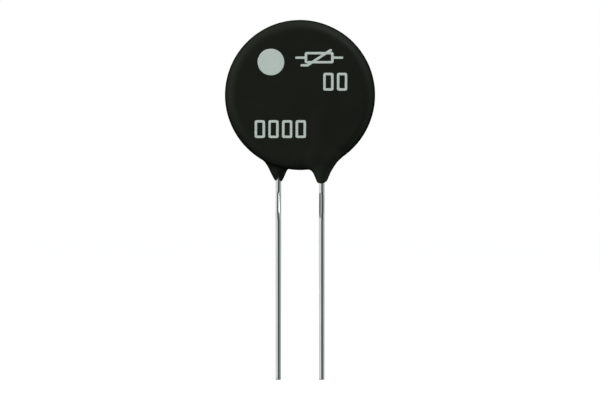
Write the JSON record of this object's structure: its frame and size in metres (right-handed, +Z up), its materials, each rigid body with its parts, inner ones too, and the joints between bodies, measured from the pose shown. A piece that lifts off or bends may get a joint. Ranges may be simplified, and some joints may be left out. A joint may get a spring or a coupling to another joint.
{
  "type": "ntc thermistor",
  "caption": "Round resin-dipped disc thermistor standing on straight wire leads that jog in below the coat, for soldering into a circuit board.",
  "frame": {"origin": "midway between the two lead tips, in the plane of the tips", "axes": "+Z up the leads to the disc, X from the left lead to the right lead, the printed front face looks to -Y"},
  "size_m": [0.026, 0.0058, 0.0622],
  "materials": {
    "coat_resin": "satin black dipped resin",
    "tinned_wire": "bright tinned wire",
    "thermistor_ceramic": "dark sintered oxide",
    "fired_silver": "matt fired silver",
    "solder": "satin solder",
    "print_ink": "matt light grey ink"
  },
  "bodies": {
    "root": {"coating": "coat_resin", "ceramic_disc": "thermistor_ceramic", "front_electrode": "fired_silver", "rear_electrode": "fired_silver", "front_solder": "solder", "rear_solder": "solder", "right_lead": "tinned_wire", "left_lead": "tinned_wire", "printed_dot": "print_ink", "printed_symbol": "print_ink", "printed_value_boxes": "print_ink", "printed_code_boxes": "print_ink"}
  },
  "joints": []
}
